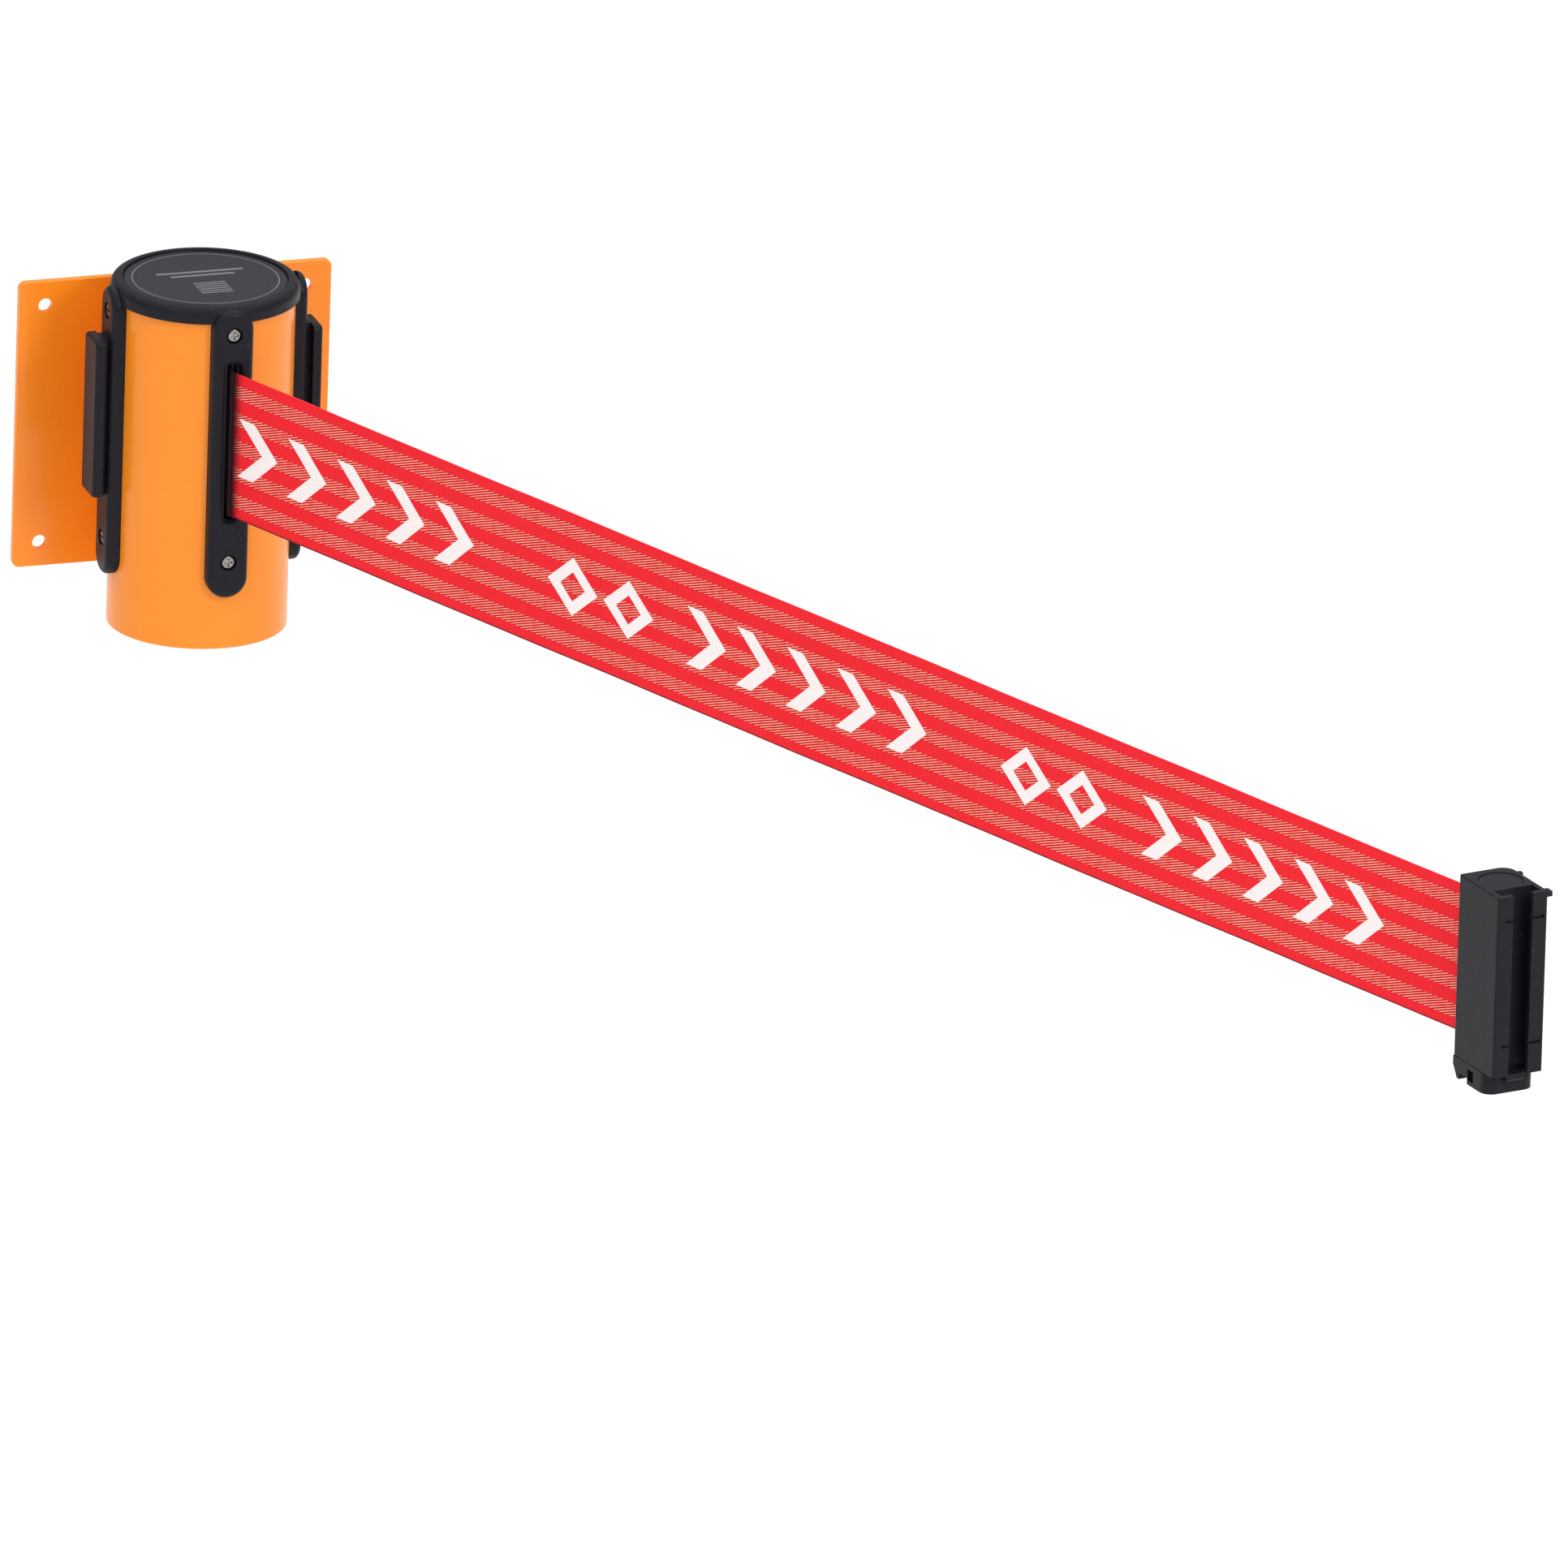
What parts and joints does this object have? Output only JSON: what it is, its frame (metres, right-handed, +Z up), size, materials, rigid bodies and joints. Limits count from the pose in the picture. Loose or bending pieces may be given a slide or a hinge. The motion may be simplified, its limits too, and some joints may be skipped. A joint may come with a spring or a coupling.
{
  "type": "wall-mounted retractable belt barrier",
  "caption": "Wall-plate steel canister with a spring-wound belt pulled out through its front slot, T-rail receivers on both sides and a clip-on belt end.",
  "frame": {"origin": "centre of the wall plate's back face", "axes": "+Y into the wall, +Z up, +X to the right of a person who faces the wall"},
  "size_m": [0.3223, 0.6654, 0.1207],
  "materials": {
    "powder_coat_orange": "glossy powder coat",
    "black_plastic": "satin moulded",
    "label_black": "printed film",
    "zinc_screw": "bright zinc",
    "grey_nylon": "moulded nylon",
    "bright_steel": "turned",
    "bronze": "sintered",
    "spring_steel": "blued",
    "brake_lining": "pressed lining",
    "belt_webbing": "woven polyester with printed marks"
  },
  "bodies": {
    "canister": {"wall_plate": "powder_coat_orange", "plate_screws": "zinc_screw", "rear_saddle": "powder_coat_orange", "nut_bar": "bright_steel", "canister_tube": "powder_coat_orange", "top_cap": "black_plastic", "cap_label": "label_black", "bottom_cap": "black_plastic", "front_cover": "black_plastic", "left_receiver": "black_plastic", "right_receiver": "black_plastic", "front_cover_screws": "zinc_screw", "left_receiver_screws": "zinc_screw", "right_receiver_screws": "zinc_screw", "cassette_upper_plate": "grey_nylon", "cassette_lower_plate": "grey_nylon", "cassette_pillars": "bright_steel", "pillar_screws": "zinc_screw", "upper_bush": "bronze", "lower_bush": "bronze", "guide_posts": "bright_steel", "brake_ring": "bright_steel", "spring_can": "grey_nylon", "can_lid": "grey_nylon", "can_screws": "zinc_screw", "power_spring": "spring_steel", "belt_inner_run": "belt_webbing"},
    "spool": {"spool_shaft": "bright_steel", "shaft_clips": "zinc_screw", "spool_drum": "grey_nylon", "belt_coil": "belt_webbing", "brake_rotor": "grey_nylon", "brake_shoes": "brake_lining"},
    "belt": {"belt_run": "belt_webbing"},
    "belt_tail": {"belt_end_loop": "belt_webbing"},
    "belt_end": {"end_housing": "black_plastic", "core_pin": "black_plastic", "end_cap": "black_plastic", "end_cap_screw": "zinc_screw"}
  },
  "joints": [
    {"name": "belt_swing", "type": "hinge", "parent": "canister", "child": "belt", "pos_m": [0, -0.0697, 0.0127], "axis": [0, 0, 1], "range_deg": [-83, 36]},
    {"name": "belt_pull", "type": "slide", "parent": "belt", "child": "belt_tail", "axis": [0.4019, -0.9157, 0], "range_m": [-0.595, 0], "deforming": ["belt_run", "belt_inner_run"]},
    {"name": "end_swivel", "type": "hinge", "parent": "belt_tail", "child": "belt_end", "pos_m": [0.25423, -0.64886, 0.0127], "axis": [0, 0, 1], "range_deg": [-13, 36.5]},
    {"name": "spool_turn", "type": "hinge", "parent": "canister", "child": "spool", "pos_m": [0, -0.0354, 0.0127], "axis": [0, 0, 1], "range_deg": [-1760, 5], "deforming": ["power_spring"]}
  ],
  "couplings": [
    {"joint": "spool_turn", "follows": "belt_pull", "rad_per_m": 51.28}
  ]
}
